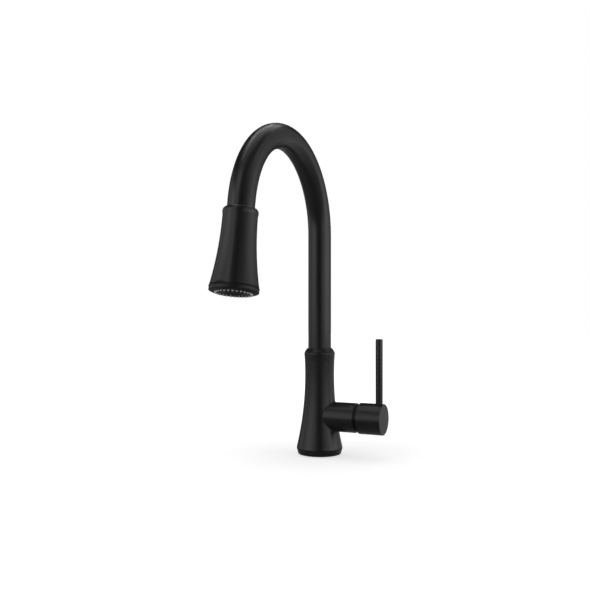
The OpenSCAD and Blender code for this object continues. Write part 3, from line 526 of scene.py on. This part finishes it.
def flags():
    """Dark cloths round the set and on the table: mirrored rays meet both, bounced light meets the round one.

    Above the deck they hide the white floor and world from mirrored rays, to give the paint its dark bands.
    """
    rows, cols, radius, table_z = 10, 36, 3.0, -0.0008

    def circle(r, z, count):
        turns = [2 * math.pi * c / count for c in range(count)]
        return [(r * math.cos(a), r * math.sin(a), z) for a in turns]

    verts = []
    for r in range(rows):
        rise = math.pi / 2 * r / rows
        verts += circle(radius * math.cos(rise), radius * math.sin(rise), cols)
    verts.append((0, 0, radius))
    faces = []
    for c in range(cols):
        d = (c + 1) % cols
        faces += [(r * cols + c, r * cols + d, (r + 1) * cols + d, (r + 1) * cols + c)
                  for r in range(rows - 1)]
        faces.append(((rows - 1) * cols + c, (rows - 1) * cols + d, rows * cols))
    tent = stage_mesh("cloth_round", verts, faces, glow_material("cloth_round", 0.01)[0])
    disc = circle(radius, table_z, 48)
    # the table cloth glows with these strengths round it, painted light that the paint mirrors
    table = stage_mesh("cloth_table", disc, [tuple(range(len(disc)))],
                       table_cloth((0.06, 0.14, 0.26, 0.38, 0.13, 0.11, 0.17, 0.11)))
    for o in (tent, table):
        o.visible_camera = False
        o.visible_shadow = False
    table.visible_diffuse = False


flags()


def softbox(name, azimuth, elevation, distance, width, height, radiance, about=middle):
    """A soft rectangle of light that faces the faucet. Azimuth is from the camera's side, to its right."""
    a, e = math.radians(azimuth), math.radians(elevation)
    way = (-ahead * math.cos(a) + right * math.sin(a)) * math.cos(e) + Vector((0, 0, math.sin(e)))
    lamp = bpy.data.lights.new(name, "AREA")
    lamp.shape = "RECTANGLE"
    lamp.size, lamp.size_y = width, height
    lamp.energy = radiance * math.pi * width * height
    o = bpy.data.objects.new(name, lamp)
    scene.collection.objects.link(o)
    o.location = about + way * distance
    o.rotation_mode = "QUATERNION"
    o.rotation_quaternion = (-way).to_track_quat("-Z", "Y")
    o.visible_camera = False


def wall(name, first, step, rows):
    """Soft panels side by side from one azimuth on; each row is an elevation and its panels' strengths."""
    for elevation, strengths in rows:
        width = 2 * lamp_distance * math.tan(math.radians(step / 2)) * math.cos(math.radians(elevation))
        for i, radiance in enumerate(strengths):
            if radiance:
                softbox(f"{name}_{elevation}_{i}", first + step * i, elevation, lamp_distance, width,
                        row_height, radiance)


# The strengths below, apart from the rim lamps', and the table cloth's glow strengths (painted light) come
# from a least-squares fit of this light to the photograph's tones, rounded, with a few changed.
lamp_distance, row_height = 1.8, 0.635
wall("left", -119, 17.6, ((2, (0.73, 0.40, 0.74, 1.22, 0.98, 0.66)),
                          (22, (0.43, 0.42, 0.93, 1.35, 0.80, 0.84)),
                          (43, (0, 0, 0.15, 0.05, 0.83, 1.16))))
wall("right", 26, 18, ((2, (0.72, 1.05, 1.69, 1.60, 1.22, 0.42, 0.34)),
                       (22, (0.08, 0.23, 0.59, 0.76, 0.87, 0.34, 0.25)),
                       (43, (0.24, 0.32, 0.53, 0.72, 0.38, 0.28, 0.35))))
softbox("back_low", 197, 2, lamp_distance, 1.5, row_height, 0.22)
softbox("overhead", 180, 88, lamp_distance, 1.0, 1.0, 0.59)
softbox("front_high", -30, 66, lamp_distance, 0.7, 0.6, 0.32)
softbox("back_high_right", 150, 66, lamp_distance, 0.7, 0.6, 0.59)
softbox("back_high_left", -120, 64, lamp_distance, 0.7, 0.6, 0.38)
arch_top = Vector((0, -0.1, 0.37))
rim_distance, rim_width, rim_height = 0.7, 0.14, 0.12
rims = ((132, 52, 0.8), (152, 48, 1.8), (172, 52, 2.6), (-168, 60, 2.4), (-140, 67, 2.2), (-105, 67, 2.2),
        (-75, 58, 2.0))
for i, (azimuth, elevation, radiance) in enumerate(rims):
    softbox(f"rim_{i}", azimuth, elevation, rim_distance, rim_width, rim_height, radiance, arch_top)

# ---------------------------------------------------------------- camera

cam = bpy.data.cameras.new("camera")
camera = bpy.data.objects.new("camera", cam)
scene.collection.objects.link(camera)
scene.camera = camera
away, eye_height, px_per_m, frame_px = 0.92046, 0.1797, 812.1, 590
centre_px, horizon_px = 319.62, 307.05       # where the faucet's axis and the horizon stand in the frame
focal_px = away * px_per_m
spot = -ahead * away - right * ((centre_px - frame_px / 2) * away / focal_px) + Vector((0, 0, eye_height))
camera.matrix_world = Matrix((
    (right.x, 0, -ahead.x, spot.x),
    (right.y, 0, -ahead.y, spot.y),
    (0, 1, 0, spot.z),
    (0, 0, 0, 1),
))
cam.sensor_width = 36
cam.lens = focal_px * cam.sensor_width / frame_px
cam.shift_y = (horizon_px - frame_px / 2) / frame_px
cam.clip_start = 0.01

scene.view_settings.view_transform = "Standard"
